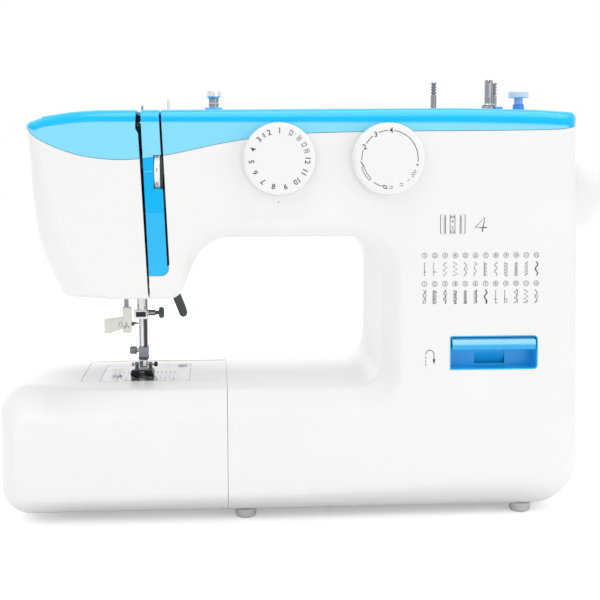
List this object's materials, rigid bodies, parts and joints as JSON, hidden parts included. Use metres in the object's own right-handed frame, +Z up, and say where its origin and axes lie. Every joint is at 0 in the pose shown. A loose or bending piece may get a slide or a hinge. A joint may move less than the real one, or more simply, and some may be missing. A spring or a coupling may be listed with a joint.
{
  "type": "sewing machine",
  "caption": "Free-arm household sewing machine with two front dials, a sprung reverse lever, a slide-off extension table and a working drive train inside its split casing.",
  "frame": {"origin": "bottom centre of the whole machine, on the surface that it stands on, under the middle of its length and depth", "axes": "+X runs from the needle end to the handwheel, +Y runs from the operator to the rear, +Z is up"},
  "size_m": [0.397, 0.1361, 0.292],
  "materials": {
    "shell": "satin moulded ABS",
    "blue_cover": "glossy moulded ABS",
    "light_blue": "glossy moulded ABS",
    "dark_blue": "glossy moulded ABS",
    "dial": "satin moulded ABS",
    "dark_plastic": "moulded nylon",
    "base": "moulded ABS, fine grain",
    "rubber": "pale rubber",
    "belt": "toothed rubber",
    "chrome": "polished",
    "steel": "ground steel",
    "plate": "brushed, engraved",
    "cast": "as cast",
    "bronze": "sintered bronze",
    "ivory": "natural nylon",
    "bulb": "clear",
    "bobbin": "clear plastic"
  },
  "bodies": {
    "machine": {"front_cover": "shell", "rear_cover": "shell", "top_cover": "blue_cover", "face_cover": "shell", "base_plate": "base", "rubber_feet": "rubber", "casing_screws": "steel", "reverse_bezel": "dark_blue", "arm_frame": "cast", "free_arm": "shell", "needle_plate": "plate", "plate_screws": "steel", "shaft_bushings": "bronze", "lamp": "bulb", "power_inlet": "dark_plastic", "motor": "steel", "timing_belt": "belt", "motor_belt": "belt", "tension_discs": "steel", "rear_thread_guide": "chrome", "pretension_guide": "chrome", "bobbin_stopper": "ivory", "head_plate": "chrome", "hook_race": "steel", "bobbin_case": "chrome", "bobbin": "bobbin"},
    "handwheel": {"handwheel": "dial", "main_shaft": "steel", "drive_pulley": "dark_plastic", "crank_disc": "steel"},
    "lower_shaft": {"lower_shaft": "steel", "lower_pulley": "dark_plastic"},
    "motor_rotor": {"motor_pulley": "steel"},
    "cam_stack": {"cam_stack": "ivory"},
    "needle_bar": {"needle_bar": "chrome", "connecting_rod": "cast", "needle_clamp": "chrome", "clamp_screw": "dark_plastic", "needle": "chrome"},
    "take_up_lever": {"take_up_lever": "chrome"},
    "shuttle_hook": {"shuttle_hook": "steel"},
    "feed_dog": {"feed_dog": "steel"},
    "presser_bar": {"presser_bar": "chrome", "presser_spring": "steel", "foot_holder": "chrome", "foot_screw": "chrome", "presser_foot": "dark_plastic"},
    "presser_lifter": {"presser_lifter": "dark_plastic"},
    "needle_threader": {"needle_threader": "ivory"},
    "pattern_dial": {"pattern_dial": "dial"},
    "stitch_length_dial": {"stitch_length_dial": "dial"},
    "tension_dial": {"tension_dial": "dial"},
    "reverse_lever": {"reverse_lever": "light_blue"},
    "spool_pin_left": {"spool_pin_left": "chrome"},
    "spool_pin_right": {"spool_pin_right": "chrome"},
    "winder_arm": {"winder_arm": "light_blue"},
    "winder_spindle": {"winder_spindle": "chrome"},
    "power_switch": {"power_switch": "dark_plastic"},
    "extension_table": {"extension_table": "shell"},
    "bobbin_door": {"bobbin_door": "shell"}
  },
  "joints": [
    {"name": "handwheel_turn", "type": "hinge", "parent": "machine", "child": "handwheel", "pos_m": [0.18, 0, 0.2205], "axis": [1, 0, 0], "continuous": true},
    {"name": "lower_shaft_turn", "type": "hinge", "parent": "machine", "child": "lower_shaft", "pos_m": [0, 0.008, 0.0653], "axis": [1, 0, 0], "continuous": true},
    {"name": "motor_turn", "type": "hinge", "parent": "machine", "child": "motor_rotor", "pos_m": [0.16, -0.027, 0.052], "axis": [1, 0, 0], "continuous": true},
    {"name": "cam_turn", "type": "hinge", "parent": "machine", "child": "cam_stack", "pos_m": [0.016, 0, 0.2435], "axis": [0, 1, 0], "continuous": true},
    {"name": "needle_slide", "type": "slide", "parent": "machine", "child": "needle_bar", "axis": [0, 0, 1], "range_m": [-0.03, 0]},
    {"name": "take_up_swing", "type": "hinge", "parent": "machine", "child": "take_up_lever", "pos_m": [-0.12, 0.008, 0.218], "axis": [1, 0, 0], "range_deg": [0, 55.1]},
    {"name": "hook_swing", "type": "hinge", "parent": "machine", "child": "shuttle_hook", "pos_m": [-0.11, 0, 0.0653], "axis": [0, 1, 0], "range_deg": [0, 200.1]},
    {"name": "feed_slide", "type": "slide", "parent": "machine", "child": "feed_dog", "axis": [0, 1, 0], "range_m": [0, 0.0031]},
    {"name": "presser_lifter_turn", "type": "hinge", "parent": "machine", "child": "presser_lifter", "pos_m": [-0.094, 0.031, 0.1625], "axis": [0, 1, 0], "range_deg": [-60, 0]},
    {"name": "presser_slide", "type": "slide", "parent": "machine", "child": "presser_bar", "axis": [0, 0, 1], "range_m": [0, 0.00607], "deforming": ["presser_spring"]},
    {"name": "threader_slide", "type": "slide", "parent": "machine", "child": "needle_threader", "axis": [0, 0, 1], "range_m": [-0.012, 0], "stiffness_N_per_m": 30, "springref_m": 0.02},
    {"name": "pattern_turn", "type": "hinge", "parent": "machine", "child": "pattern_dial", "pos_m": [-0.0185, -0.06, 0.2382], "axis": [0, 1, 0], "continuous": true},
    {"name": "stitch_length_turn", "type": "hinge", "parent": "machine", "child": "stitch_length_dial", "pos_m": [0.0508, -0.06, 0.2382], "axis": [0, 1, 0], "range_deg": [0, 250]},
    {"name": "tension_turn", "type": "hinge", "parent": "machine", "child": "tension_dial", "pos_m": [-0.0943, -0.0415, 0.23], "axis": [1, 0, 0], "range_deg": [-140, 170]},
    {"name": "reverse_press", "type": "hinge", "parent": "machine", "child": "reverse_lever", "pos_m": [0.121, -0.018, 0.117], "axis": [1, 0, 0], "range_deg": [0, 11], "stiffness_Nm_per_rad": 0.3, "springref_deg": -17.19},
    {"name": "spool_pin_left_pull", "type": "slide", "parent": "machine", "child": "spool_pin_left", "axis": [0, 0, 1], "range_m": [0, 0.04]},
    {"name": "spool_pin_right_pull", "type": "slide", "parent": "machine", "child": "spool_pin_right", "axis": [0, 0, 1], "range_m": [0, 0.04]},
    {"name": "winder_push", "type": "slide", "parent": "machine", "child": "winder_arm", "axis": [1, 0, 0], "range_m": [0, 0.0036]},
    {"name": "winder_spin", "type": "hinge", "parent": "winder_arm", "child": "winder_spindle", "pos_m": [0.1283, 0, 0.28], "axis": [0, 0, 1], "continuous": true},
    {"name": "switch_rock", "type": "hinge", "parent": "machine", "child": "power_switch", "pos_m": [0.1816, 0.032, 0.082], "axis": [0, 1, 0], "range_deg": [0, 13]},
    {"name": "table_slide", "type": "slide", "parent": "machine", "child": "extension_table", "axis": [-1, 0, 0], "range_m": [0, 0.12]},
    {"name": "bobbin_door_open", "type": "hinge", "parent": "machine", "child": "bobbin_door", "pos_m": [-0.11, -0.0199, 0.05], "axis": [1, 0, 0], "range_deg": [0, 75]}
  ],
  "couplings": [
    {"joint": "lower_shaft_turn", "follows": "handwheel_turn", "ratio": 1},
    {"joint": "motor_turn", "follows": "handwheel_turn", "ratio": 3.4286},
    {"joint": "cam_turn", "follows": "handwheel_turn", "ratio": 0.0833},
    {"joint": "take_up_swing", "follows": "needle_slide", "rad_per_m": -32},
    {"joint": "hook_swing", "follows": "needle_slide", "rad_per_m": -116.3},
    {"joint": "feed_slide", "follows": "needle_slide", "ratio": -0.1},
    {"joint": "presser_lifter_turn", "follows": "presser_slide", "rad_per_m": -172.4}
  ]
}
